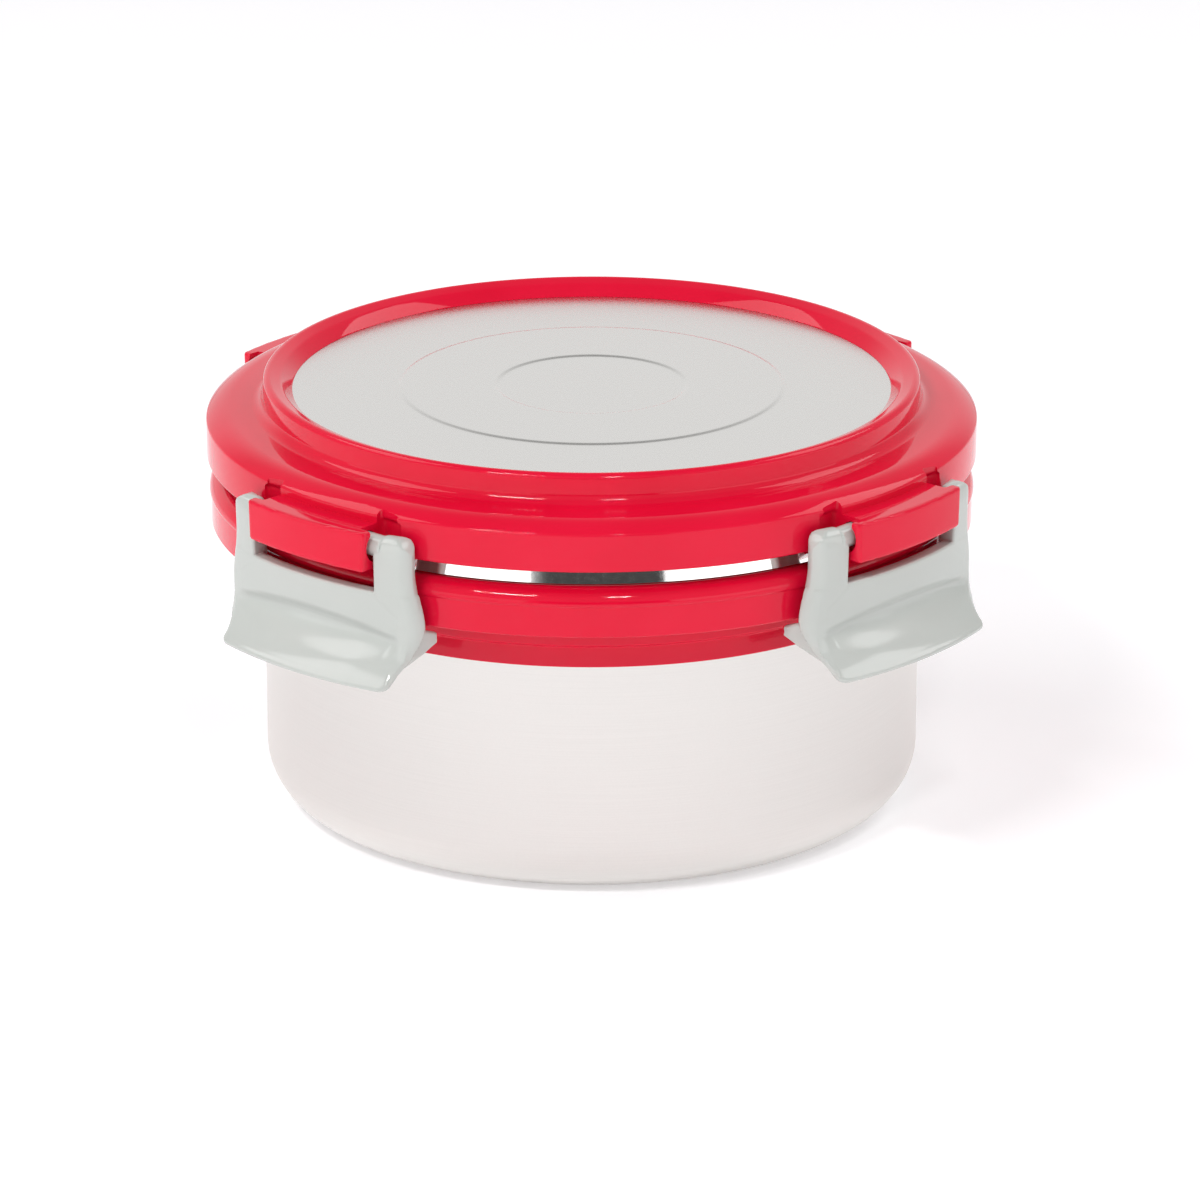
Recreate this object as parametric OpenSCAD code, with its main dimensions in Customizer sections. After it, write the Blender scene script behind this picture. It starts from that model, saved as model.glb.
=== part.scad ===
// Round steel lunch box with a clip-down lid.
// Millimetres, Z up. The bowl stands on z = 0 and its axis is the Z axis.
// The four clips lie on the -Y, +X, +Y and -X sides.

/* [Bowl] */
// Outer radius of the steel wall
bowl_r = 56.4; // [55.8:0.1:56.8]
// Height of the lid's lower edge above the base
lid_z = 61.5; // [45:0.5:90]
// Thickness of the steel sheet
steel_t = 0.6; // [0.4:0.1:0.8]
// Outer radius of the corner between wall and base
corner_r = 9.5; // [4:0.5:14]
// How far the turned-down steel rim stands above the lid's lower edge
rim_up = 2.3; // [2:0.1:2.4]

/* [Collar] */
// Outer radius of the collar's flange
flange_r = 65.4; // [65:0.1:65.8]
// Depth of the flange's lower edge below the lid's lower edge
flange_drop = 11.5; // [11:0.1:11.8]
// Depth of the collar's skirt below the lid's lower edge
skirt_drop = 19.4; // [17:0.1:24]

/* [Lid] */
// Outer radius of the lid's wall
lid_r = 66; // [65.6:0.1:66.2]
// Height of the lid's wall
lid_wall_h = 6.5; // [6.2:0.1:6.8]
// Height of the bead's crest above the lid's lower edge
bead_h = 13.65; // [13.4:0.05:14]
// Radius at which the steel disc meets the bead
disc_r = 51.2; // [50.6:0.1:51.6]
// Height of the raised ring pressed into the disc
emboss_h = 0.35; // [0.2:0.05:0.6]
// Outer radius of the raised ring
emboss_outer_r = 32.8; // [26:0.1:40]
// Inner radius of the raised ring
emboss_inner_r = 16.2; // [8:0.1:22]

/* [Hinge tabs] */
// Radius of a tab's curved outer face
tab_r = 71.9; // [71:0.1:72.2]
// Half the width of a tab at its top
tab_half_w = 13.3; // [12.6:0.1:13.3]
// How far each end of a tab leans in at the foot
tab_lean = 0.3; // [0:0.1:1]
// Distance of a hinge axis from the box's axis
hinge_r = 67.1; // [66.9:0.1:67.2]
// Height of a hinge axis above the lid's lower edge
hinge_up = 2.3; // [2.2:0.1:2.4]
// Radius of a clip's hinge peg
peg_r = 1.9; // [1.5:0.05:1.95]
// Radial running clearance of a peg in its bore
peg_gap = 0.08; // [0.02:0.01:0.1]

/* [Clips] */
// Half the width of a clip at its arms
clip_half_w = 19.8; // [19.3:0.1:20.3]
// How much wider each side of a clip is at its waist
clip_belly = 1.6; // [0:0.1:2]
// Half the width of the window between a clip's arms
window_half_w = 13.6; // [13.6:0.1:14]
// Radius of a clip's front face at its waist
clip_r = 70.15; // [70:0.05:70.3]
// How much further out the front face stands at the top
clip_lean = 0.45; // [0.2:0.05:0.6]
// Radius of the back of a clip's arms and cheeks
clip_back_r = 66.5; // [66.4:0.1:66.8]
// Depth of the window's sill below the lid's lower edge
sill_drop = 5.1; // [4.9:0.1:5.4]
// Thickness of a clip's plate at the window
plate_t = 2.3; // [1.8:0.1:2.6]
// Radius of the thumb lip's flare
flare_r = 12; // [11.8:0.1:12.4]
// Angle through which the thumb lip flares
flare_angle = 51; // [46:1:52]

/* [Hidden] */
$fn = 120;

red = [0.86, 0.10, 0.20];
grey = [0.80, 0.82, 0.80];
steel = [0.80, 0.79, 0.77];
silicone = [0.93, 0.93, 0.91];

slack = 0.1;                          // play between parts that touch
cut = 0.5;                            // how far a cutter runs past what it cuts
far = 90;                             // past the box's outermost face

rim_r = lid_r - 3.8;                  // outer face of the turned-down steel rim
rim_round = 1.5;                      // outer radius of the rim's folded edge
rim_bend = 1.2;                       // radius of the bend from wall to rim
rim_lip_drop = 3.6;                   // lower edge of the rim below the lid's edge
rim_z = lid_z + rim_up;               // top of the rim

collar_in = bowl_r + slack;           // inside of the collar
collar_wall = 1.5;                    // thickness of the collar's inner wall
flange_wall = 2;                      // thickness of the flange's outer wall
flange_top = 3.2;                     // drop of the flange's crest
flange_round = 2.8;                   // radius of the flange's shoulder
flange_step = 0.2;                    // step in below that shoulder
flange_deck = 5.2;                    // drop of the underside of the flange's top

plug_r = bowl_r - steel_t - 0.4;      // outside of the lid's plug
plug_wall = 2.1;                      // thickness of the plug's wall
plug_drop = 3.5;                      // depth of the plug below the lid's edge
groove_in = plug_r + 1.6;             // inner wall of the gasket's groove
groove_out = rim_r - 0.2;             // outer wall of the gasket's groove
groove_top = 5.4;                     // roof of the gasket's groove
disc_z = bead_h - 2.55;               // top of the disc's flat ring
disc_tuck = 0.6;                      // how far the disc runs under the bead
disc_t = 0.55;                        // thickness of the disc and inner plate
ledge_r = disc_r - 3.7;               // inner edge of the ledge under the disc
ledge_t = 1.6;                        // thickness of that ledge
plate_z = -1.8;                       // top of the inner plate's outer ring

shoulder_r = 6.4;                     // radius of the shoulder above the wall
shoulder_in = 4.5;                    // how far in from the wall its centre is
shoulder_z = lid_wall_h - shoulder_in; // height of its centre
bead_round = 1;                       // radius of the bead's crest
bead_mid_r = disc_r + 4;              // centre of the bead's crest
bead_foot_r = bead_mid_r + 3;         // where the bead's foot starts
bead_foot_z = shoulder_z + shoulder_r + 0.15; // height of that place
foot_round = 1.95;                    // radius of the hollow at the bead's foot

tab_corner = sqrt(tab_r * tab_r - tab_half_w * tab_half_w); // where its face ends
corner_cut = 0.4;                     // how much is cut off that corner
tab_foot = -1.6;                      // underside of a tab
tab_top = 5.2;                        // top face of a tab
bore_end_w = 8.6;                     // blind end of a hinge bore
slot_w = 11;                          // start of the open slot above a peg
pocket_w = 4.6;                       // width of the pocket in the wall behind the slot
pocket_in = 2.6;                      // how far in that pocket reaches
pocket_h = 3.6;                       // height of that pocket's roof above the hinge
clip_top = 4.4;                       // top of a clip's arms
cheek_w = 2.3;                        // width of a clip's side cheeks
side_draft = 0.27;                    // how much a clip narrows per mm towards its back
cheek_back_y = clip_back_r - 3.2;     // back of a cheek, measured square to the clip
hook_half_w = clip_half_w;            // half the width of the hook
hook_drop = flange_drop + 0.25;       // flat top of the hook, under the flange
hook_tip_r = flange_r - 1.65;         // centre of the hook's rounded tip
hook_round = 1.15;                    // radius of that tip
belly_r = 30.4;                       // radius of the hook's rounded underside
flare_z = -11;                        // height at which the flare starts
lip_t = 0.9;                          // thickness of the thumb lip's edge
lip_half_w = clip_half_w - 1.1;       // half the width of the thumb lip
lip_round = 1.5;                      // radius of the thumb lip's corners

// Points of an arc about c from angle a0 to a1
function arc(c, r, a0, a1, n = 8) =
    [for (i = [0:n]) let (a = a0 + (a1 - a0) * i / n) c + r * [cos(a), sin(a)]];

// Turns a profile of [radius, height] points about the Z axis
module turned(profile) rotate_extrude() polygon(profile);

// A front outline of [x, height] points, carried from the axis out to -Y
module front_prism(outline)
    rotate([90, 0, 0]) linear_extrude(far) polygon(outline);

// A side outline of [distance from the axis, height] points, on the -Y side
module side_prism(outline, half_w)
    translate([-half_w, 0, 0]) rotate([90, 0, -90]) mirror([0, 0, 1])
        linear_extrude(2 * half_w) polygon(outline);

// A rod along X on the -Y side, between two distances from the middle
module hinge_rod(r, w0, w1)
    translate([w0, -hinge_r, hinge_up]) rotate([0, 90, 0]) cylinder(r = r, h = w1 - w0);

module on_four_sides() for (k = [0:3]) rotate(90 * k) children();

module on_both_ends() {
    children();
    mirror([1, 0, 0]) children();
}

// Steel bowl, its rim folded out and down over the collar
module bowl() color(steel) turned(concat(
    [[0, 0]],
    arc([bowl_r - corner_r, corner_r], corner_r, -90, 0, 12),
    arc([bowl_r + rim_bend, rim_z - steel_t - rim_bend], rim_bend, 180, 90, 6),
    arc([rim_r - rim_round, rim_z - rim_round], rim_round - steel_t, 90, 0, 6),
    [[rim_r - steel_t, lid_z - rim_lip_drop], [rim_r, lid_z - rim_lip_drop]],
    arc([rim_r - rim_round, rim_z - rim_round], rim_round, 0, 90, 8),
    arc([bowl_r + rim_bend, rim_z - steel_t - rim_bend], rim_bend + steel_t, 90, 180, 8),
    arc([bowl_r - corner_r, corner_r], corner_r - steel_t, 0, -90, 12),
    [[0, steel_t]]
));

// Collar ring held under the rim: a skirt against the wall and a hollow flange
module collar() color(red) translate([0, 0, lid_z]) turned(concat(
    [[collar_in, -skirt_drop], [collar_in + 0.3, -skirt_drop]],
    arc([collar_in + 0.4, -skirt_drop + 0.4], 0.4, -90, 0, 4),
    [[collar_in + 0.8, -skirt_drop + 3.4], [collar_in + collar_wall, -skirt_drop + 3.9],
     [collar_in + collar_wall, -flange_deck],
     [flange_r - flange_wall, -flange_deck], [flange_r - flange_wall, -flange_drop + 0.3],
     [flange_r - flange_wall + 0.3, -flange_drop]],
    arc([flange_r - 0.6, -flange_drop + 0.6], 0.6, -90, 0, 4),
    [[flange_r, -flange_top - flange_round - flange_step]],
    arc([flange_r + flange_step - flange_round, -flange_top - flange_round],
        flange_round, 0, 90, 10),
    [[rim_r + 0.4, -flange_top - 0.1], [rim_r + 0.3, -rim_lip_drop - 0.3],
     [collar_in + collar_wall, -rim_lip_drop - 0.3],
     [collar_in + collar_wall, rim_up - steel_t - slack],
     [collar_in + rim_bend, rim_up - steel_t - slack],
     [collar_in, rim_up - steel_t - rim_bend - slack]]
));

// Cross-section of the lid's ring, without its tabs
function frame_profile() = concat(
    arc([lid_r - 0.5, 0.5], 0.5, -90, 0, 4),
    arc([lid_r - shoulder_in, shoulder_z], shoulder_r, 45.5, 90, 6),
    arc([bead_foot_r, bead_foot_z + foot_round], foot_round, -90, -172, 6),
    [[bead_mid_r + bead_round, disc_z - 0.1]],
    arc([bead_mid_r, bead_h - bead_round], bead_round, 10, 110, 8),
    [[disc_r + 2, disc_z + 1.85], [disc_r + 0.15, disc_z + 0.25], [disc_r, disc_z],
     [disc_r + disc_tuck + slack, disc_z],
     [disc_r + disc_tuck + slack, disc_z - disc_t],
     [ledge_r, disc_z - disc_t], [ledge_r, disc_z - disc_t - ledge_t],
     [plug_r - plug_wall, disc_z - disc_t - ledge_t - 0.8],
     [plug_r - plug_wall, plate_z + 0.05],
     [plug_r - plug_wall + 0.7, plate_z + 0.05],
     [plug_r - plug_wall + 0.7, plate_z - disc_t - 0.05],
     [plug_r - plug_wall, plate_z - disc_t - 0.05], [plug_r - plug_wall, -plug_drop + 0.4],
     [plug_r - plug_wall + 0.4, -plug_drop], [plug_r - 0.7, -plug_drop],
     [plug_r, -plug_drop + 0.7],
     [plug_r, rim_up + 0.6], [groove_in, rim_up + 0.6], [groove_in, groove_top],
     [groove_out, groove_top], [groove_out, rim_up + 0.6], [groove_out + 1, rim_up + 0.6],
     [groove_out + 1, rim_up + 1.8], [lid_r - 2, rim_up + 1.6], [lid_r - 2, 0]]
);

// Open slot above a peg at the +X end of a tab, with a pocket in the wall behind it
module peg_slot() {
    translate([slot_w, -hinge_r - peg_r, hinge_up])
        cube([window_half_w + 0.8 - slot_w, peg_r + 3.2, 3]);
    translate([slot_w, -lid_r, hinge_up]) cube([pocket_w, pocket_in, pocket_h]);
    hinge_rod(peg_r + 0.9, slot_w, window_half_w + 0.8);
}

// One hinge tab: a curved block with leaning ends and cut corners
module tab() intersection() {
    translate([0, 0, tab_foot - cut]) linear_extrude(tab_top - tab_foot + 2)
        polygon([[-tab_half_w, -lid_r / 2], [-tab_half_w, corner_cut - tab_corner],
                 [2 * corner_cut - tab_half_w, -far], [tab_half_w - 2 * corner_cut, -far],
                 [tab_half_w, corner_cut - tab_corner], [tab_half_w, -lid_r / 2]]);
    turned([[lid_r - 1, 0], [lid_r - 1, tab_top + 0.6], [lid_r, tab_top + 0.1],
            [tab_r - 0.5, tab_top], [tab_r, tab_top - 0.5], [tab_r, tab_foot + 0.3],
            [tab_r - 0.3, tab_foot], [lid_r - 0.6, tab_foot], [lid_r - 1.4, 0]]);
    front_prism([[tab_lean - tab_half_w, tab_foot - cut], [tab_half_w - tab_lean, tab_foot - cut],
                 [tab_half_w, tab_top + cut + cut], [-tab_half_w, tab_top + cut + cut]]);
}

// Lid ring with the bead, the gasket's groove and four hinge tabs
module lid_frame() color(red) translate([0, 0, lid_z]) difference() {
    union() {
        turned(frame_profile());
        on_four_sides() tab();
    }
    on_four_sides() on_both_ends() {
        hinge_rod(peg_r + peg_gap, bore_end_w, tab_half_w + cut);
        peg_slot();
    }
}

// A pressed sheet: flat, with one raised ring between two radii
module pressed_disc(outer_r, z, in_r, out_r, rise) turned([
    [0, z], [in_r - 0.5, z], [in_r + 0.5, z + rise], [out_r - 0.5, z + rise],
    [out_r + 0.5, z], [outer_r, z], [outer_r, z - disc_t],
    [out_r + 0.3, z - disc_t], [out_r - 0.7, z + rise - disc_t],
    [in_r + 0.7, z + rise - disc_t], [in_r - 0.3, z - disc_t], [0, z - disc_t]
]);

// Steel disc let into the top of the lid
module lid_disc() color(steel) translate([0, 0, lid_z])
    pressed_disc(disc_r + disc_tuck, disc_z, emboss_inner_r, emboss_outer_r, emboss_h);

// Steel plate that faces the food, snapped into the plug
module lid_inner_plate() color(steel) translate([0, 0, lid_z])
    pressed_disc(plug_r - plug_wall + 0.6, plate_z, 8, plug_r - 12, 1.2);

// Silicone ring with one sealing bead, in the groove above the rim
module gasket() color(silicone) translate([0, 0, lid_z]) turned(concat(
    [[groove_in + slack, groove_top - slack], [groove_in + slack, rim_up + 1.3],
     [(groove_in + groove_out) / 2 - 1.4, rim_up + 1.3]],
    arc([(groove_in + groove_out) / 2, rim_up + slack + 1], 1, -155, -25, 8),
    [[(groove_in + groove_out) / 2 + 1.4, rim_up + 1.3],
     [groove_out - slack, rim_up + 1.3], [groove_out - slack, groove_top - slack]]
));

// Front curve of a clip, from the end of its straight face to the lip
function flare(thick_0, thick_1, n = 10) = [for (i = [0:n])
    let (a = 180 + flare_angle * i / n, t = thick_0 + (thick_1 - thick_0) * i / n)
    [clip_r + flare_r, flare_z] + (flare_r + t) * [cos(a), sin(a)]];

function reversed(points) = [for (i = [len(points) - 1:-1:0]) points[i]];

// Right side of a clip in front view, from the height z down round the lip's corner
function clip_side(z) = concat(
    [[clip_half_w, z], [clip_half_w, flare_z + 8.5], [clip_half_w + 0.3 * clip_belly, flare_z + 5.5],
     [clip_half_w + 0.8 * clip_belly, flare_z + 2.5], [clip_half_w + clip_belly, flare_z],
     [clip_half_w + 0.7 * clip_belly, flare_z - 2.5], [clip_half_w, flare_z - 5.2],
     [lip_half_w + 0.1, flare_z - 7.6]],
    arc([lip_half_w - lip_round, flare_z - 8.6], lip_round, 0, -70, 5));

// Radius of the leaning front face at the height z
function front_r(z) = clip_r + clip_lean * (z - flare_z) / (clip_top - flare_z);

// Plan of a clip, whose sides draw in towards the back
module clip_plan() translate([0, 0, -far / 2]) linear_extrude(far)
    polygon([for (k = [[-1, 0], [-1, far], [1, far], [1, 0]])
        [k[0] * (clip_half_w + 0.6 + side_draft * (k[1] - cheek_back_y)), -k[1]]]);

// Plate below the window
module clip_plate() intersection() {
    clip_plan();
    turned(concat([[clip_r - plate_t, -sill_drop], [front_r(-sill_drop) - 0.4, -sill_drop],
                   [front_r(-sill_drop - 0.4), -sill_drop - 0.4]],
                  flare(0, 0), reversed(flare(plate_t, lip_t))));
    front_prism(concat(clip_side(0), [for (p = reversed(clip_side(0))) [-p[0], p[1]]]));
}

// Deep arm and cheek at the +X end: the arm carries the peg
module clip_cheek() intersection() {
    clip_plan();
    turned(concat([[clip_back_r, clip_top + cut], [front_r(clip_top + cut), clip_top + cut]],
                  flare(0, 0), reversed(flare(plate_t - 0.5, lip_t, 4)),
                  [[clip_back_r + 0.6, -10.6], [clip_back_r, -8.3]]));
    front_prism(concat([[window_half_w, clip_top + cut], [clip_half_w - 1.2, clip_top + cut],
                        [clip_half_w, clip_top - 1.8]],
                       clip_side(0),
                       [[clip_half_w - cheek_w, flare_z - 5], [clip_half_w - cheek_w, -9],
                        [window_half_w, -sill_drop - 1]]));
    side_prism(concat([[hinge_r - 1.2, clip_top], [hinge_r - 2.2, clip_top - 0.7],
                       [hinge_r - 3.5, clip_top - 2.9], [hinge_r - 5.5, clip_top - 6],
                       [hinge_r - 7, -30], [hinge_r + 14, -30], [hinge_r + 14, -15],
                       [hinge_r + 3.8, clip_top - 4], [hinge_r + 2.2, clip_top - 1.6],
                       [hinge_r + 1.2, clip_top - 0.6], [hinge_r + 0.2, clip_top]]), 30);
}

// Hook that catches under the flange, with a rounded underside down to the lip
module clip_hook() intersection() {
    turned(concat([[clip_r - 1, -hook_drop], [clip_back_r, -hook_drop]],
                  arc([hook_tip_r, -hook_drop - hook_round - 1.05], hook_round, 90, 234, 8),
                  arc([hook_tip_r + 16.75, flange_drop - 1.6], belly_r, 236, 253, 8),
                  reversed(flare(lip_t / 2, lip_t / 2, 6))));
    front_prism([[-hook_half_w, 0], [-hook_half_w, flare_z - 5], [0.6 - lip_half_w, flare_z - 8.6],
                 [2 - lip_half_w, -far], [lip_half_w - 2, -far],
                 [lip_half_w - 0.6, flare_z - 8.6], [hook_half_w, flare_z - 5], [hook_half_w, 0]]);
}

// One clip, hinged on its own two pegs
module clip(turn) color(grey) rotate(turn) translate([0, 0, lid_z]) {
    clip_plate();
    clip_hook();
    on_both_ends() {
        clip_cheek();
        hinge_rod(peg_r, bore_end_w + 0.3, window_half_w + 1);
    }
}

module clip_front() clip(0);
module clip_right() clip(90);
module clip_back() clip(180);
module clip_left() clip(270);

bowl();
collar();
lid_frame();
lid_disc();
lid_inner_plate();
gasket();
clip_front();
clip_right();
clip_back();
clip_left();
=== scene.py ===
import math

import bmesh
import bpy
import numpy as np
from mathutils import Matrix, Vector

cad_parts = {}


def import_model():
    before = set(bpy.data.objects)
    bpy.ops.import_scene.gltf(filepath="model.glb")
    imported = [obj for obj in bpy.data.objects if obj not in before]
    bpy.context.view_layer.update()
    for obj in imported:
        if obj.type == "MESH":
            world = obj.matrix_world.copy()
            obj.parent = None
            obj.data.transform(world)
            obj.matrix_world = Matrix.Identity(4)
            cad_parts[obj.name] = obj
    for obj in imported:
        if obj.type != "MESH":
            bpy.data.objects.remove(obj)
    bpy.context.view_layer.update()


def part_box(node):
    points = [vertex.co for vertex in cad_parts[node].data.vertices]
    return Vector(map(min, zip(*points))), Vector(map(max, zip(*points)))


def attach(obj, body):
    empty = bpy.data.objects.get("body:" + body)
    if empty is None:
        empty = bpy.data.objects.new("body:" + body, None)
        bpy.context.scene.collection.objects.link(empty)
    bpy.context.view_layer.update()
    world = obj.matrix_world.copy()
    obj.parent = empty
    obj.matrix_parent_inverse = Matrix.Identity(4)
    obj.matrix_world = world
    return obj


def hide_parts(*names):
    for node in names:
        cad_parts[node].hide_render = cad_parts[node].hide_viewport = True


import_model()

MM = 0.001
SEGMENTS = 256        # steps round a turned piece
RING_SEGMENTS = 360   # steps round the lid's ring
CLIP_GRID = 0.3       # grids for the surfaces made from fields, in mm
TAB_GRID = 0.4
CUTTER_GRID = 0.3
ON_AXIS = 1e-6        # a point nearer the axis than this, in mm, is on it
WELD = 1e-7           # points nearer to each other than this, in metres, become one

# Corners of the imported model's nodes, in metres
_, bowl_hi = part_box("bowl")
_, lid_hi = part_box("lid_frame")
_, disc_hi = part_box("lid_disc")
collar_lo, collar_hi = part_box("collar")
plate_lo, plate_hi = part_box("lid_inner_plate")
gasket_lo, gasket_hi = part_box("gasket")

# Places that the pieces share, in mm, counted from those corners
RIM_R = bowl_hi.x / MM
RIM_Z = bowl_hi.z / MM
RIM_LEAN = 1.1        # how far the rim's outer face leans in at its top
LID_Z = RIM_Z - 2.3   # the lid's lower edge
BEAD_Z = lid_hi.z / MM
TAB_R = lid_hi.x / MM
SHEET = 0.6           # thickness of the bowl's steel
BOWL_R = RIM_R - 5.8
LID_R = RIM_R + 3.8
DISC_TUCK = 0.6       # how far the disc reaches in under the bead
DISC_R = disc_hi.x / MM - DISC_TUCK
DISC_Z = BEAD_Z - 2.55
DISC_SEAT = 0.55      # room that the lid's ring leaves for the disc's and the plate's thickness
FLANGE_R = collar_hi.x / MM
SKIRT_Z = collar_lo.z / MM


# ---------------------------------------------------------------- outlines and meshes

def arc(centre, radius, start, end, steps=8):
    """Points of an arc about (distance from the axis, height), in degrees."""
    turn = [math.radians(start + (end - start) * i / steps) for i in range(steps + 1)]
    return [(centre[0] + radius * math.cos(a), centre[1] + radius * math.sin(a)) for a in turn]


LONGEST_CUT = 0.45    # the most of a side that one rounded corner may take


def rounded(points, radii, steps=4):
    """A closed outline whose corner i is replaced by a small curve of about radius radii[i]."""
    out = []
    count = len(points)
    for i, (p, r) in enumerate(zip(points, radii)):
        p = Vector(p)
        if r <= 0:
            out.append(tuple(p))
            continue
        a, b = Vector(points[i - 1]) - p, Vector(points[(i + 1) % count]) - p
        cut_a, cut_b = min(r, a.length * LONGEST_CUT), min(r, b.length * LONGEST_CUT)
        pa, pb = p + a.normalized() * cut_a, p + b.normalized() * cut_b
        for k in range(steps + 1):
            t = k / steps
            out.append(tuple(pa * (1 - t) ** 2 + p * 2 * t * (1 - t) + pb * t ** 2))
    return out


def new_object(name, bm):
    """A smooth-shaded object from a bmesh, with its normals outward."""
    bmesh.ops.recalc_face_normals(bm, faces=bm.faces)
    mesh = bpy.data.meshes.new(name)
    bm.to_mesh(mesh)
    bm.free()
    mesh.shade_smooth()
    obj = bpy.data.objects.new(name, mesh)
    bpy.context.scene.collection.objects.link(obj)
    return obj


def spin(name, outline, segments=SEGMENTS):
    """A closed outline of (distance from the axis, height) in mm, turned about the Z axis."""
    bm = bmesh.new()
    rings = []
    for k in range(segments):
        a = 2 * math.pi * k / segments
        rings.append([bm.verts.new((r * MM * math.cos(a), r * MM * math.sin(a), z * MM))
                      for r, z in outline])
    count = len(outline)
    for k in range(segments):
        here, there = rings[k], rings[(k + 1) % segments]
        for i in range(count):
            j = (i + 1) % count
            if outline[i][0] < ON_AXIS and outline[j][0] < ON_AXIS:
                continue
            bm.faces.new((here[i], here[j], there[j], there[i]))
    bmesh.ops.remove_doubles(bm, verts=bm.verts, dist=WELD)
    return new_object(name, bm)


# ---------------------------------------------------------------- shapes from fields
# A field is negative inside a solid and positive outside, in mm, on numpy arrays.

def meet(a, b, r=0.0):
    """The field inside both a and b, with the edge between them rounded to the radius r."""
    corner = np.hypot(np.maximum(a + r, 0), np.maximum(b + r, 0))
    return np.minimum(-r, np.maximum(a, b)) + corner


def join(a, b, r=0.0):
    """The field inside a or b, with a fillet of radius r between them."""
    return -meet(-a, -b, r)


def smooth_step(value, start, end):
    """0 at the start and 1 at the end, with a smooth change between them."""
    t = np.clip((value - start) / (end - start), 0, 1)
    return t * t * (3 - 2 * t)


def slope(field, p, h=0.02):
    """Gradient of a field at the points p."""
    parts = []
    for axis in range(3):
        d = np.zeros(3)
        d[axis] = h
        parts.append(field(*(p + d).T) - field(*(p - d).T))
    return np.stack(parts, axis=1) / (2 * h)


def settle(field, p, rounds=3, longest=0.3, flattest=0.05):
    """Moves the points p onto the field's surface, by steps no longer than a limit."""
    for _ in range(rounds):
        g = slope(field, p)
        step = field(*p.T) / np.maximum((g * g).sum(1), flattest)
        p = p - np.clip(step, -longest, longest)[:, None] * g
    return p


def field_surface(field, low, high, step, smoothing=4):
    """Points and quads of the surface where the field is zero, from a grid between two corners.

    Each grid cell that the surface crosses gets one point, and each grid edge that it crosses gets
    one quad. Smoothing then spreads the points evenly over the surface.
    """
    axes = [np.arange(a, b + step, step) for a, b in zip(low, high)]
    grid = np.meshgrid(*axes, indexing="ij")
    inside = field(*grid) < 0
    count = [n - 1 for n in inside.shape]
    corners_in = sum(inside[i:i + count[0], j:j + count[1], k:k + count[2]].astype(np.int8)
                     for i in (0, 1) for j in (0, 1) for k in (0, 1))
    mixed = (corners_in > 0) & (corners_in < 8)
    index = np.full(mixed.shape, -1)
    index[mixed] = np.arange(mixed.sum())
    points = np.argwhere(mixed) * step + np.array(low) + step / 2
    quads = []
    for axis in range(3):
        flags = np.moveaxis(inside, axis, 0)
        cells = np.moveaxis(index, axis, 0)
        here, there = flags[:-1, 1:-1, 1:-1], flags[1:, 1:-1, 1:-1]
        ring = [cells[:, :-1, :-1], cells[:, 1:, :-1], cells[:, 1:, 1:], cells[:, :-1, 1:]]
        outward, inward = here & ~there, ~here & there
        if axis == 1:
            outward, inward = inward, outward
        for crossing, order in ((outward, (3, 2, 1, 0)), (inward, (0, 1, 2, 3))):
            quads.append(np.stack([ring[i][crossing] for i in order], axis=1))
    quads = np.concatenate(quads)
    sides = np.concatenate([quads[:, [k, (k + 1) % 4]] for k in range(4)])
    degree = np.bincount(sides.ravel(), minlength=len(points))
    points = settle(field, points)
    for _ in range(smoothing):
        total = np.zeros_like(points)
        np.add.at(total, sides[:, 0], points[sides[:, 1]])
        np.add.at(total, sides[:, 1], points[sides[:, 0]])
        points = settle(field, 0.5 * points + 0.5 * total / degree[:, None], 2)
    return points, quads


def field_mesh(name, field, low, high, step):
    """A mesh of a field's surface, placed on the -Y side, and the field's normals there."""
    points, quads = field_surface(field, low, high, step)
    normals = slope(field, points)
    normals /= np.linalg.norm(normals, axis=1)[:, None]
    mesh = bpy.data.meshes.new(name)
    placed = points * (1, -1, 1) * MM + (0, 0, LID_Z * MM)
    mesh.from_pydata(placed.tolist(), [], quads.tolist())
    mesh.shade_smooth()
    return mesh, normals * (1, -1, 1)


# ---------------------------------------------------------------- clips
# Clip fields use x across the clip, y outward and z above the lid's lower edge, in mm. Some also
# use a, the distance from the clip's middle, and r, the distance from the box's axis.

HINGE_R, HINGE_UP, PEG_R = 67.1, 2.3, 1.9
CLIP_HALF_W, WINDOW_HALF_W, CHEEK_W = 19.8, 13.6, 2.3
CLIP_R, CLIP_LEAN, CLIP_BACK_R = 70.15, 0.45, 66.5
CLIP_TOP, SILL_Z = 4.4, -5.1
FLARE_Z, FLARE_R, FLARE_TURN = -11, 12, 51
PLATE_T, LIP_T = 2.3, 0.9
DISH_DEPTH, DISH_TOP_Z, DISH_FOOT_Z = 1.3, -10, -17.6
HOOK_Z, HOOK_IN_R = -11.75, 62.6
PEG_IN, PEG_OUT = 8.9, 15
OUTLINE_Z = (-18.6, -16.2, -13.5, -11, -8.5, -5.5, -2.5)
OUTLINE_MORE = (-1.0, 0, 1.1, 1.6, 1.3, 0.5, 0)
OUTLINE_SPREAD = (-1, -0.5, 0, 0.5, 1)


def half_width(z):
    """Half the width of a clip at the height z: straight arms, a wide waist and a narrow lip."""
    more = sum(np.interp(z + d, OUTLINE_Z, OUTLINE_MORE) for d in OUTLINE_SPREAD)
    return CLIP_HALF_W + more / len(OUTLINE_SPREAD)


def thumb_dish(x, z):
    """1 inside the shallow recess for the thumb, 0 outside it."""
    top = DISH_TOP_Z - 1.8 * (x / 16) ** 2
    foot = DISH_FOOT_Z + 0.9 * (x / 18) ** 2
    edge = half_width(z)
    return (smooth_step(z, top + 0.3, top - 2.2) * smooth_step(z, foot, foot + 5)
            * smooth_step(np.abs(x), edge - 1.5, edge - 4.4))


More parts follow.
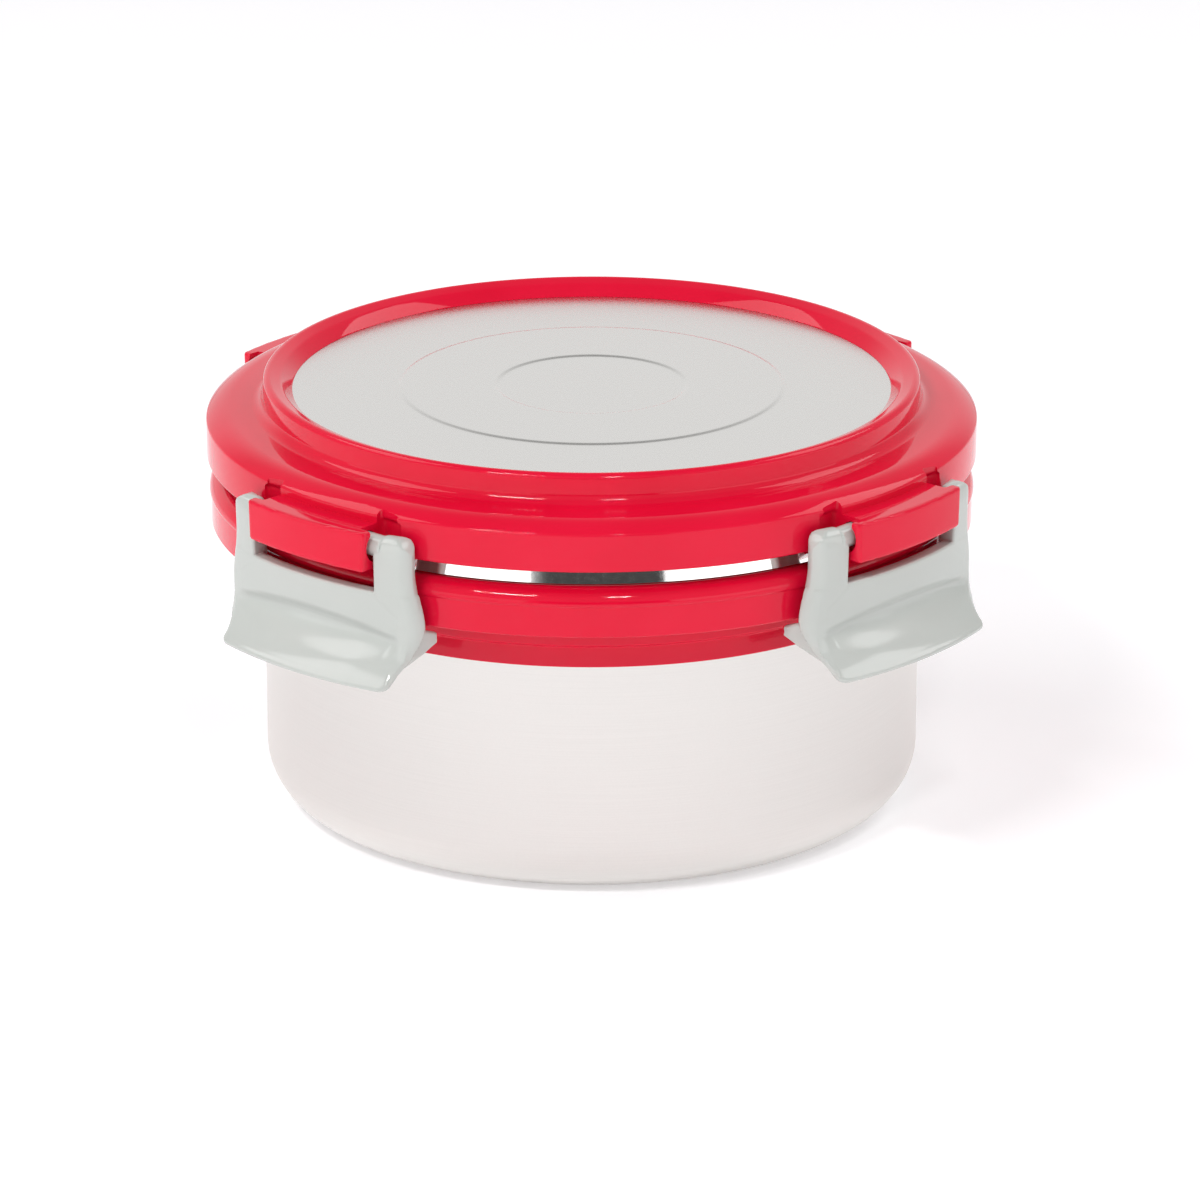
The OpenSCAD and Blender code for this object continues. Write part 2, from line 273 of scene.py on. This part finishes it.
def flare_distance(r, z):
    """Distance from the centre of the curve that carries the clip's face out to its lip."""
    return np.hypot(r - CLIP_R - FLARE_R, z - FLARE_Z)


def front_face(x, r, z):
    """The field behind a clip's front face, which leans out to its top and flares at its foot."""
    lean = CLIP_LEAN * (z - FLARE_Z) / (CLIP_TOP - FLARE_Z)
    face = np.where(z < FLARE_Z, FLARE_R - flare_distance(r, z), r - CLIP_R - lean)
    return face + DISH_DEPTH * thumb_dish(x, z)


def clip_shell(front, side, r, z):
    """The field behind the front face and inside the clip's outline, down to the end of its lip."""
    turn = math.radians(FLARE_TURN)
    lip_r, lip_z = CLIP_R + FLARE_R * (1 - math.cos(turn)), FLARE_Z - FLARE_R * math.sin(turn)
    end = (r - lip_r) * math.sin(turn) - (z - lip_z) * math.cos(turn)
    lip_corner, edge_heights, edge_rounds = 1.5, (-20, -16), (0.45, 1.8)
    outline = meet(side, end, lip_corner)
    return meet(front, outline, np.interp(z, edge_heights, edge_rounds))


def clip_plate(shell, r, z):
    """The plate below the window, which thins along the flare."""
    turn = np.degrees(np.arctan2(FLARE_Z - z, CLIP_R + FLARE_R - r)) / FLARE_TURN
    flared = flare_distance(r, z) - FLARE_R - np.interp(turn, (0, 1), (PLATE_T, LIP_T))
    back = np.where(z < FLARE_Z, flared, CLIP_R - PLATE_T - r)
    return meet(meet(shell, back, 0.35), z - SILL_Z, 0.45)


def clip_arm(shell, side, a, y, r, z):
    """An arm beside the window and the cheek below it, whose sides draw in towards the back."""
    inner_x = np.interp(z, (-9, -6.1), (CLIP_HALF_W - CHEEK_W, WINDOW_HALF_W))
    inner = (inner_x - a) * np.interp(z, (-9.4, -9, -6.1, -5.7), (1, 0.6, 0.6, 1))
    back = np.interp(z, (-10.6, -8.3), (CLIP_BACK_R + 0.6, CLIP_BACK_R)) - r
    draft, draft_scale, cheek_back_in, room = 0.27, 0.965, 3.2, 0.6
    plan = (a - CLIP_HALF_W - room - draft * (y - CLIP_BACK_R + cheek_back_in)) * draft_scale
    slope_y, slope_z = 0.743, 0.669
    slant = slope_y * (y - HINGE_R - 0.2) + slope_z * (z - CLIP_TOP) - 0.4
    top = meet(z - CLIP_TOP, slant, 1.0)
    barrel = np.hypot(np.minimum(y - HINGE_R, 0), np.maximum(z - HINGE_UP, 0))
    wall_gap, widest = 0.3, 24
    wall_y = np.sqrt(LID_R ** 2 - np.minimum(a, widest) ** 2)
    top = meet(top, barrel - HINGE_R + wall_gap + wall_y, 0.5)
    arm = meet(meet(meet(shell, inner, 0.55), back, 0.5), plan, 0.5)
    cheek_foot = -13
    arm = meet(meet(arm, top, 1.6), cheek_foot - z, 0.2)
    return meet(arm, meet(side, top, 3.2))


def clip_hook(front, a, r, z):
    """The hook under the flange: a top that tilts, a rounded tip and a belly down to the lip."""
    tilt, tilt_scale = 0.382, 0.934
    top = meet(z - HOOK_Z, (z - HOOK_Z - tilt * (r - CLIP_BACK_R)) * tilt_scale, 0.4)
    belly_z, belly_r = 9.9, 30.4
    belly = np.hypot(r - CLIP_R - FLARE_R, z - belly_z) - belly_r
    tip_z, tip_r, tip_tilt, tip_scale = -14.9, 63, 0.2, 0.98
    tip = meet((tip_z - tip_tilt * (r - tip_r) - z) * tip_scale, r - CLIP_BACK_R)
    hook = meet(meet(top, join(belly, tip, 1.0), 0.4), HOOK_IN_R - r, 1.0)
    half_w = np.interp(z, (-19.6, -16), (18.1, CLIP_HALF_W))
    behind_face = 0.25
    return meet(meet(hook, a - half_w, 0.5), front + behind_face)


def clip_field(x, y, z):
    """One whole clip: plate, two arms, hook and two pegs."""
    a, r = np.abs(x), np.hypot(x, y)
    front = front_face(x, r, z)
    side = a - half_width(z)
    shell = clip_shell(front, side, r, z)
    body = join(clip_plate(shell, r, z), clip_arm(shell, side, a, y, r, z), 0.2)
    peg = np.hypot(y - HINGE_R, z - HINGE_UP) - PEG_R
    peg = meet(peg, np.maximum(PEG_IN - a, a - PEG_OUT), 0.25)
    return join(join(body, clip_hook(front, a, r, z), 0.4), peg, 0.1)


def clips():
    """The four clips, which share one mesh, each with the name of its node."""
    mesh, normals = field_mesh("clip", clip_field, (-22.5, 60, -22), (22.5, 76, 5.2), CLIP_GRID)
    mesh.normals_split_custom_set_from_vertices(normals.tolist())
    made = []
    for k, side in enumerate(("front", "right", "back", "left")):
        obj = bpy.data.objects.new(f"{side}_clip", mesh)
        bpy.context.scene.collection.objects.link(obj)
        obj.rotation_euler.z = math.radians(90 * k)
        made.append((obj, f"clip_{side}"))
    return made


# ---------------------------------------------------------------- lid ring and tabs

TAB_HALF_W, TAB_LEAN = 13.3, 0.3
TAB_FOOT, TAB_TOP = -1.6, 5.2
SLOT_X = 11           # where the open slot above a peg starts
BORE_END_X = 8.6      # where the peg's bore ends
BORE_GAP, SLOT_GAP = 0.08, 0.9    # room round the peg in the bore and in the slot
SHARP_FROM = 38       # edges of the finished ring that turn more than this, in degrees, are sharp


def ring_outline():
    """Cross-section of the lid's ring: wall, shoulder, bead, ledge, plug and gasket groove."""
    wall_top, wall_round, crease_round = 6.5, 0.45, 0.35
    shoulder_r, shoulder_in = 6.4, 4.5
    shoulder_z = wall_top - shoulder_in
    mid_r, crest_z, crest_round = DISC_R + 4, BEAD_Z - LID_Z, 1
    foot_r, foot_z, foot_round = mid_r + 3, shoulder_z + shoulder_r + 0.15, 1.95
    seat_top, seat_slack, seat_out = DISC_Z - LID_Z, 0.02, DISC_R + 0.7
    seat_low = seat_top - DISC_SEAT
    ledge_r = DISC_R - 3.7
    plate_z, plate_slack, plate_snap = -1.8, 0.05, 0.7
    plug_r, plug_foot = BOWL_R - SHEET - 0.4, -3.5
    plug_in = plug_r - 2.1
    deck_z = 2.9
    groove_in, groove_out, groove_top = plug_r + 1.6, RIM_R - 0.2, 5.4
    roof_r, inner_wall_r = groove_out + 1, LID_R - 2

    foot = arc((LID_R - wall_round, wall_round), wall_round, -90, 0, 6)
    shoulder = arc((LID_R - shoulder_in, shoulder_z), shoulder_r, 50, 90, 16)
    crease = rounded([(LID_R, 3), (LID_R, wall_top), shoulder[0]], [0, crease_round, 0], 6)[1:-1]
    hollow = arc((foot_r, foot_z + foot_round), foot_round, -90, -172, 12)
    crest = arc((mid_r, crest_z - crest_round), crest_round, 10, 110, 16)
    lip = (DISC_R + 0.15, seat_top + 0.25)
    flank = [crest[-1], (DISC_R + 2, seat_top + 1.85), lip]
    flank = rounded(flank, [0, crease_round, 0], 6)[1:-1]
    inside = [
        lip, (DISC_R, seat_top + seat_slack), (seat_out, seat_top + seat_slack),
        (seat_out, seat_low - seat_slack), (ledge_r, seat_low - seat_slack),
        (ledge_r, seat_low - 1.6), (plug_in, seat_low - 2.4), (plug_in, plate_z + plate_slack),
        (plug_in + plate_snap, plate_z + plate_slack),
        (plug_in + plate_snap, plate_z - DISC_SEAT - plate_slack),
        (plug_in, plate_z - DISC_SEAT - plate_slack), (plug_in, plug_foot + 0.4),
        (plug_in + 0.4, plug_foot), (plug_r - 0.7, plug_foot), (plug_r, plug_foot + 0.7),
        (plug_r, deck_z), (groove_in, deck_z), (groove_in, groove_top), (groove_out, groove_top),
        (groove_out, deck_z), (roof_r, deck_z), (roof_r, 4.1), (inner_wall_r, 3.9),
        (inner_wall_r, 0),
    ]
    points = foot + crease + shoulder + hollow + crest + flank + inside
    return [(r, z + LID_Z) for r, z in points]


def tab_field(x, y, z):
    """One hinge tab, solid, with softly rounded edges."""
    a, r = np.abs(x), np.hypot(x, y)
    end = a - TAB_HALF_W + TAB_LEAN * (TAB_TOP - z) / (TAB_TOP - TAB_FOOT)
    face = meet(r - TAB_R, end, 0.55)
    block = meet(face, meet(z - TAB_TOP, TAB_FOOT - z, 0.3), 0.42)
    into_wall = 1.2
    return meet(block, LID_R - into_wall - r, 0.2)


def peg_cutter_field(x, y, z):
    """The bore for a peg at the +X end of a tab, the slot above it and a pocket in the wall."""
    peg = np.hypot(y - HINGE_R, z - HINGE_UP) - PEG_R
    past_end, above = x - WINDOW_HALF_W - 1.2, HINGE_UP - z
    bore = meet(meet(peg - BORE_GAP, BORE_END_X - x), past_end)
    wide = meet(meet(peg - SLOT_GAP, SLOT_X - x, 0.1), past_end)

    slot_in, slot_half_y, slot_top = 0.6, 2.55, 9
    slot = meet(SLOT_X - x, np.abs(y - HINGE_R + slot_in) - slot_half_y, 0.5)
    slot = meet(meet(slot, np.maximum(above, z - slot_top), 0), past_end)
    pocket_half_x, pocket_in, pocket_half_y, pocket_top = 2.3, 0.6, 2, 5.9
    pocket = meet(np.abs(x - SLOT_X - pocket_half_x) - pocket_half_x,
                  np.abs(y - LID_R + pocket_in) - pocket_half_y, 0.9)
    pocket = meet(pocket, np.maximum(above, z - pocket_top), 0.6)
    return join(join(bore, wide, 0.05), join(slot, pocket, 0.2), 0.1)


def field_object(name, field, low, high, step, turn=0.0, mirror=False):
    """An object of a field's surface, its mesh mirrored if asked and turned about the Z axis."""
    mesh, _ = field_mesh(name, field, low, high, step)
    flip = Matrix.Diagonal((-1 if mirror else 1, 1, 1, 1))
    mesh.transform(Matrix.Rotation(turn, 4, "Z") @ flip)
    if mirror:
        mesh.flip_normals()
    obj = bpy.data.objects.new(name, mesh)
    bpy.context.scene.collection.objects.link(obj)
    return obj


def combine(target, others, operation):
    """Joins the other objects to the target, or cuts them out of it, and removes them."""
    for other in others:
        change = target.modifiers.new("combine", "BOOLEAN")
        change.operation = operation
        change.solver = "MANIFOLD"
        change.object = other
    graph = bpy.context.evaluated_depsgraph_get()
    mesh = bpy.data.meshes.new_from_object(target.evaluated_get(graph))
    target.modifiers.clear()
    target.data = mesh
    for other in others:
        bpy.data.objects.remove(other)


def lid_ring():
    """The lid's ring with four tabs joined to it, and the pegs' bores and slots cut out."""
    ring = spin("lid_ring", ring_outline(), RING_SEGMENTS)
    turns = [math.radians(90 * k) for k in range(4)]
    tabs = [field_object("tab", tab_field, (-15, 62, -3), (15, 73.5, 6.5), TAB_GRID, turn)
            for turn in turns]
    combine(ring, tabs, "UNION")
    cutters = [field_object("cutter", peg_cutter_field, (7, 61, -1.5), (17, 71, 10), CUTTER_GRID,
                            turn, mirror)
               for turn in turns for mirror in (False, True)]
    combine(ring, cutters, "DIFFERENCE")
    ring.data.shade_smooth()
    ring.data.set_sharp_from_angle(angle=math.radians(SHARP_FROM))
    return ring


# ---------------------------------------------------------------- materials

NOISE_BAND = 0.35, 0.65    # where nearly all values of a detailed noise lie


class Shader:
    """Short calls for building one node material."""

    def __init__(self, name):
        self.material = bpy.data.materials.new(name)
        self.material.use_nodes = True
        self.nodes = self.material.node_tree.nodes
        self.links = self.material.node_tree.links
        self.bsdf = self.nodes["Principled BSDF"]
        self.coords = self.nodes.new("ShaderNodeTexCoord").outputs["Object"]

    def set(self, **values):
        for key, value in values.items():
            self.bsdf.inputs[key.replace("_", " ")].default_value = value

    def stretched(self, scale):
        mapping = self.nodes.new("ShaderNodeMapping")
        mapping.inputs["Scale"].default_value = scale
        self.links.new(self.coords, mapping.inputs["Vector"])
        return mapping.outputs["Vector"]

    def noise(self, scale, detail=2.0, rough=0.5, vector=None):
        node = self.nodes.new("ShaderNodeTexNoise")
        node.inputs["Scale"].default_value = scale
        node.inputs["Detail"].default_value = detail
        node.inputs["Roughness"].default_value = rough
        self.links.new(vector or self.coords, node.inputs["Vector"])
        return node.outputs["Fac"]

    def ramp(self, value, low, high, stops=(0.0, 1.0)):
        node = self.nodes.new("ShaderNodeMapRange")
        limits = {"From Min": stops[0], "From Max": stops[1], "To Min": low, "To Max": high}
        for key, limit in limits.items():
            node.inputs[key].default_value = limit
        self.links.new(value, node.inputs["Value"])
        return node.outputs["Result"]

    def colours(self, value, stops):
        node = self.nodes.new("ShaderNodeValToRGB")
        ramp = node.color_ramp
        while len(ramp.elements) < len(stops):
            ramp.elements.new(0.5)
        for element, (place, colour) in zip(ramp.elements, stops):
            element.position = place
            element.color = (*colour, 1)
        self.links.new(value, node.inputs["Fac"])
        return node.outputs["Color"]

    def math(self, kind, a, b):
        node = self.nodes.new("ShaderNodeMath")
        node.operation = kind
        for socket, v in zip(node.inputs, (a, b)):
            if isinstance(v, (int, float)):
                socket.default_value = v
            else:
                self.links.new(v, socket)
        return node.outputs[0]

    def bump(self, height, strength, distance):
        node = self.nodes.new("ShaderNodeBump")
        node.inputs["Strength"].default_value = strength
        node.inputs["Distance"].default_value = distance
        self.links.new(height, node.inputs["Height"])
        self.links.new(node.outputs["Normal"], self.bsdf.inputs["Normal"])

    def drive(self, **sources):
        for key, source in sources.items():
            self.links.new(source, self.bsdf.inputs[key.replace("_", " ")])


def moulded(name, cloud_scale, colours, mottle_scale, rough, grain, bump, **values):
    """Plastic or rubber with a faint cloud of colour, mottled gloss and a fine grain."""
    s = Shader(name)
    s.set(**values)
    s.drive(Base_Color=s.colours(s.noise(cloud_scale, 3), list(zip((0.3, 0.7), colours))))
    s.drive(Roughness=s.ramp(s.noise(mottle_scale, 3, 0.6), *rough, NOISE_BAND))
    s.bump(s.noise(*grain), *bump)
    return s.material


def steel(name, colours, rough, brush, bump, anisotropic=0.0):
    """Steel with a grain stretched by brush. Anisotropic steel is brushed round the Z axis."""
    s = Shader(name)
    s.set(Metallic=1.0)
    grain = s.noise(1.0, 4, 0.6, s.stretched(brush))
    fine = s.noise(3000, 2, 0.5)
    both = s.math("ADD", s.math("MULTIPLY", grain, 0.7), s.math("MULTIPLY", fine, 0.3))
    s.drive(Base_Color=s.colours(both, list(zip(NOISE_BAND, colours))))
    s.drive(Roughness=s.ramp(both, *rough, NOISE_BAND))
    s.bump(both, bump, 0.0001)
    if anisotropic:
        tangent = s.nodes.new("ShaderNodeTangent")
        tangent.direction_type = "RADIAL"
        tangent.axis = "Z"
        s.set(Anisotropic=anisotropic)
        s.drive(Tangent=tangent.outputs["Tangent"])
    return s.material


RED = moulded(
    "red_plastic", cloud_scale=60, colours=((0.71, 0.003, 0.030), (0.75, 0.005, 0.036)),
    mottle_scale=900, rough=(0.02, 0.06), grain=(4000, 2, 0.6), bump=(0.05, 0.00002),
    IOR=1.47, Specular_IOR_Level=0.32)
GREY = moulded(
    "grey_plastic", cloud_scale=80, colours=((0.510, 0.532, 0.505), (0.522, 0.544, 0.517)),
    mottle_scale=1200, rough=(0.09, 0.15), grain=(5000, 2, 0.6), bump=(0.05, 0.00002), IOR=1.55)
BRUSHED = steel(
    "brushed_steel", colours=((0.735, 0.717, 0.692), (0.77, 0.752, 0.727)), rough=(0.38, 0.46),
    brush=(40, 40, 6000), bump=0.05, anisotropic=0.75)
POLISHED = steel(
    "polished_steel", colours=((0.90, 0.89, 0.88), (0.95, 0.94, 0.93)), rough=(0.04, 0.10),
    brush=(900, 900, 900), bump=0.02)
SATIN = steel(
    "satin_steel", colours=((0.70, 0.690, 0.670), (0.76, 0.750, 0.730)), rough=(0.22, 0.30),
    brush=(1500, 1500, 1500), bump=0.10)
SILICONE = moulded(
    "silicone", cloud_scale=90, colours=((0.80, 0.80, 0.77), (0.86, 0.86, 0.83)),
    mottle_scale=1500, rough=(0.42, 0.6), grain=(3000, 3, 0.6), bump=(0.15, 0.0002),
    Subsurface_Weight=0.3, Subsurface_Scale=0.002)


def finish_piece(obj, body, node, material):
    """The piece stands for a CAD node, rides on its body and takes its finish."""
    obj.data.materials.clear()
    obj.data.materials.append(material)
    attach(obj, body)
    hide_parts(node)
    return obj


# ---------------------------------------------------------------- bowl, collar, disc

def face_points(r0, r1, z0, z1):
    """Points near the two ends of a straight face, which keep its shading straight."""
    return [(r0 + (r1 - r0) * t, z0 + (z1 - z0) * t) for t in (0.04, 0.1, 0.5, 0.9, 0.96)]


def bowl():
    """The steel bowl, its rim folded out and down, with a rolled lower edge."""
    bend, fold, corner = 1.2, 1.5, 9.5
    lip_z, lip_up = LID_Z - 3.6, 0.3
    corner_at = (BOWL_R - corner, corner)
    bend_at = (BOWL_R + bend, RIM_Z - SHEET - bend)
    fold_at = (RIM_R - fold - RIM_LEAN, RIM_Z - fold)
    outline = (
        [(0, 0)]
        + arc(corner_at, corner, -90, 0, 24)
        + arc(bend_at, bend, 180, 90, 8)
        + arc(fold_at, fold - SHEET, 90, 0, 8)
        + face_points(RIM_R - SHEET - RIM_LEAN, RIM_R - SHEET, RIM_Z - fold, lip_z + lip_up)
        + arc((RIM_R - SHEET / 2, lip_z + SHEET / 2), SHEET / 2, 180, 360, 8)
        + face_points(RIM_R, RIM_R - RIM_LEAN, lip_z + lip_up, RIM_Z - fold)
        + arc(fold_at, fold, 0, 90, 10)
        + arc(bend_at, bend + SHEET, 90, 180, 10)
        + arc(corner_at, corner - SHEET, 0, -90, 24)
        + [(0, SHEET)]
    )
    return spin("steel_bowl", outline)


def collar():
    """The collar ring: a leaning skirt, a hollow flange and an inner wall up to the rim."""
    inner, wall = BOWL_R + 0.1, BOWL_R + 1.6
    shoulder, step = 2.8, 0.2
    crest, deck, flange = LID_Z - 3.2, LID_Z - 5.2, LID_Z - 11.5
    outer = FLANGE_R - step
    flange_in = outer - 2
    under_lip, under_rim = LID_Z - 3.9, RIM_Z - SHEET
    points = [
        (inner, SKIRT_Z), (inner + 1.2, SKIRT_Z), (inner + 0.65, SKIRT_Z + 3.4),
        (wall, SKIRT_Z + 3.9), (wall, deck), (flange_in, deck), (flange_in, flange),
        (outer, flange), (outer, crest - shoulder - step),
    ]
    radii = [0.1, 0.3, 0.25, 0.2, 0.3, 0.4, 0.3, 0.45, 0.12]
    top = arc((FLANGE_R - shoulder, crest - shoulder), shoulder, 0, 90, 14)
    rest = [
        (RIM_R + 0.4, crest - 0.1), (RIM_R + 0.3, under_lip), (wall, under_lip),
        (wall, under_rim - 0.1), (inner + 1.2, under_rim - 0.1), (inner, under_rim - 1.3),
    ]
    radii += [0] * len(top) + [0.1, 0.1, 0.2, 0.1, 0.2, 0.2]
    return spin("collar_ring", rounded(points + top + rest, radii))


def pressed_profile(outer, z, inner_edge, outer_edge, rise, thick, run=1.0):
    """Top and underside of a sheet with one raised ring, its steps as soft S-curves."""

    def level(r):
        up = min(max((r - inner_edge + run / 2) / run, 0), 1)
        down = min(max((outer_edge + run / 2 - r) / run, 0), 1)
        t = min(up, down)
        return z + rise * t * t * (3 - 2 * t)

    def step(edge):
        return [edge - run / 2 + run * k / 8 for k in range(9)]

    stops = [0, inner_edge / 2, inner_edge - run, *step(inner_edge), inner_edge + run]
    stops += [(inner_edge + outer_edge) / 2, outer_edge - run, *step(outer_edge)]
    stops += [outer_edge + run, (outer_edge + outer) / 2, outer - 0.5, outer - 0.3, outer - 0.1]
    top = [(r, level(r)) for r in stops]
    underside = [(r, level(r) - thick) for r in reversed(stops[:-1])]
    return top + [(outer, z - 0.1), (outer, z - thick)] + underside


def disc():
    """The steel disc in the lid's top."""
    return spin("steel_disc", pressed_profile(
        DISC_R + DISC_TUCK, DISC_Z, inner_edge=16.2, outer_edge=32.8, rise=0.2, thick=0.5))


def inner_plate():
    """The steel plate on the food side of the lid."""
    outer = plate_hi.x / MM
    top = plate_lo.z / MM + DISC_SEAT
    return spin("inner_plate", pressed_profile(
        outer, top, inner_edge=8, outer_edge=outer - 11.4, rise=1.2, thick=DISC_SEAT, run=1.6))


def gasket():
    """The silicone seal, with one bead that presses on the rim."""
    low, high = gasket_lo.z / MM, gasket_hi.z / MM
    outer, inner = gasket_hi.x / MM, RIM_R - 5.1
    middle = (outer + inner) / 2
    web_z, bead_half_w, bead_r, corner = low + 1.2, 1.4, 1, 0.3
    left = [(inner, high), (inner, web_z), (middle - bead_half_w, web_z)]
    bead = arc((middle, low + bead_r), bead_r, -155, -25, 12)
    right = [(middle + bead_half_w, web_z), (outer, web_z), (outer, high)]
    radii = [corner] * len(left) + [0] * len(bead) + [corner] * len(right)
    return spin("seal_ring", rounded(left + bead + right, radii))


# The bowl is brushed, and its folded rim is polished
steel_bowl = finish_piece(bowl(), "bowl_body", "bowl", BRUSHED)
steel_bowl.data.materials.append(POLISHED)
for face in steel_bowl.data.polygons:
    high = face.center.z > (RIM_Z - SHEET - 1) * MM
    if high or face.center.xy.length > (BOWL_R + 1) * MM:
        face.material_index = 1

finish_piece(collar(), "bowl_body", "collar", RED)
finish_piece(disc(), "lid_body", "lid_disc", SATIN)
finish_piece(inner_plate(), "lid_body", "lid_inner_plate", SATIN)
finish_piece(gasket(), "lid_body", "gasket", SILICONE)
for obj, node in clips():
    finish_piece(obj, node + "_body", node, GREY)
finish_piece(lid_ring(), "lid_body", "lid_frame", RED)


# ---------------------------------------------------------------- floor, light, camera

# The camera's place in metres from the middle of the lid's lower edge, and its angles in degrees
CAMERA_SIDE, CAMERA_BACK, CAMERA_UP = 0.001434, 1.1280, 0.3727
CAMERA_TURN, CAMERA_DOWN = 41.75, 19.558
CAMERA_LENS = 207.5
to_camera = Matrix.Rotation(math.radians(CAMERA_TURN), 4, "Z")

FLOOR_GLOW = 0.26
WORLD_LIGHT = 0.54    # the surroundings in general
REAR_LIGHT = 0.94     # behind the box
TOP_LIGHT = 0.26      # overhead
GAP_LIGHT = 0.06      # in one low dark gap on the camera's side
GAP_TURN, GAP_UP = 5, 0.15

# Area lights: name, azimuth from the camera's side and height in degrees, distance and size in
# metres, and power
SOFTBOXES = (
    ("left_wall", -54, 8, 1.2, (1.7, 0.3), 1.7),
    ("right_wall", 56, 8, 1.2, (1.6, 0.3), 1.7),
    ("left_box", -95, 47, 1.1, (0.72, 0.5), 2.9),
    ("right_box", 106, 44, 1.1, (0.7, 0.5), 2.9),
    ("left_strip", -30, 46, 1.1, (0.3, 0.028), 3.2),
    ("right_strip", 9, 46, 1.1, (0.12, 0.028), 1.3),
)


def floor():
    """A wide pale floor that glows a little, so that it shows nearly white."""
    bm = bmesh.new()
    bmesh.ops.create_circle(bm, cap_ends=True, segments=96, radius=6.0)
    obj = new_object("floor", bm)
    s = Shader("floor")
    s.set(Specular_IOR_Level=0.2)
    pale = [(0.3, (0.90, 0.89, 0.91)), (0.7, (0.92, 0.91, 0.93))]
    s.drive(Base_Color=s.colours(s.noise(3, 2), pale))
    s.set(Emission_Color=(1, 0.995, 1, 1), Emission_Strength=FLOOR_GLOW)
    s.drive(Roughness=s.ramp(s.noise(40, 2), 0.5, 0.7))
    obj.data.materials.append(s.material)


def softbox(name, azimuth, height, distance, size, power):
    """An area light aimed at the middle of the lid's lower edge."""
    a = math.radians(CAMERA_TURN) + math.radians(azimuth)
    h = math.radians(height)
    away = Vector((math.sin(a) * math.cos(h), -math.cos(a) * math.cos(h), math.sin(h)))
    aim = Vector((0, 0, LID_Z * MM))
    place = aim + away * distance
    data = bpy.data.lights.new(name, "AREA")
    data.shape = "RECTANGLE"
    data.size, data.size_y = size
    data.energy = power
    obj = bpy.data.objects.new(name, data)
    bpy.context.scene.collection.objects.link(obj)
    obj.location = place
    obj.rotation_euler = (aim - place).to_track_quat("-Z", "Y").to_euler()


def world():
    """Pale surroundings: bright behind the box, dim overhead, one low dark gap in front."""
    studio = bpy.data.worlds.new("studio")
    bpy.context.scene.world = studio
    studio.use_nodes = True
    nodes, links = studio.node_tree.nodes, studio.node_tree.links
    direction = nodes.new("ShaderNodeTexCoord").outputs["Generated"]
    gap_turn = math.radians(GAP_TURN)
    gap_middle = Vector((math.sin(gap_turn), -math.cos(gap_turn), GAP_UP)).normalized()
    dot = nodes.new("ShaderNodeVectorMath")
    dot.operation = "DOT_PRODUCT"
    dot.inputs[1].default_value = to_camera @ gap_middle
    links.new(direction, dot.inputs[0])
    parts = nodes.new("ShaderNodeSeparateXYZ")
    links.new(direction, parts.inputs[0])
    forward, up = dot.outputs["Value"], parts.outputs["Z"]

    def ramp(value, start, end, low, high):
        node = nodes.new("ShaderNodeMapRange")
        node.interpolation_type = "SMOOTHSTEP"
        limits = {"From Min": start, "From Max": end, "To Min": low, "To Max": high}
        for key, limit in limits.items():
            node.inputs[key].default_value = limit
        links.new(value, node.inputs["Value"])
        return node.outputs["Result"]

    def times(a, b):
        node = nodes.new("ShaderNodeMath")
        node.operation = "MULTIPLY"
        links.new(a, node.inputs[0])
        links.new(b, node.inputs[1])
        return node.outputs[0]

    # forward is the cosine of the angle from the gap's middle, and up is the sine of the height
    gap = times(ramp(forward, 0.90, 0.96, 0, 1), ramp(up, 0.20, 0.27, 1, 0))
    level = ramp(gap, 0, 1, WORLD_LIGHT, GAP_LIGHT)
    rear = ramp(forward, -0.62, -0.86, 1, REAR_LIGHT / WORLD_LIGHT)
    ceiling = ramp(up, 0.6, 0.9, 1, TOP_LIGHT / WORLD_LIGHT)
    background = nodes["Background"]
    background.inputs["Color"].default_value = (1, 1, 1, 1)
    links.new(times(times(level, rear), ceiling), background.inputs["Strength"])


def camera():
    """The camera, looking down at the box from between its front and right clips."""
    data = bpy.data.cameras.new("camera")
    data.sensor_width = 36
    data.lens = CAMERA_LENS
    data.clip_start = 0.05
    obj = bpy.data.objects.new("camera", data)
    bpy.context.scene.collection.objects.link(obj)
    obj.location = to_camera @ Vector((CAMERA_SIDE, -CAMERA_BACK, LID_Z * MM + CAMERA_UP))
    obj.rotation_euler = (math.radians(90 - CAMERA_DOWN), 0, math.radians(CAMERA_TURN))
    bpy.context.scene.camera = obj


floor()
world()
for light in SOFTBOXES:
    softbox(*light)
camera()
bpy.context.scene.view_settings.view_transform = "Standard"
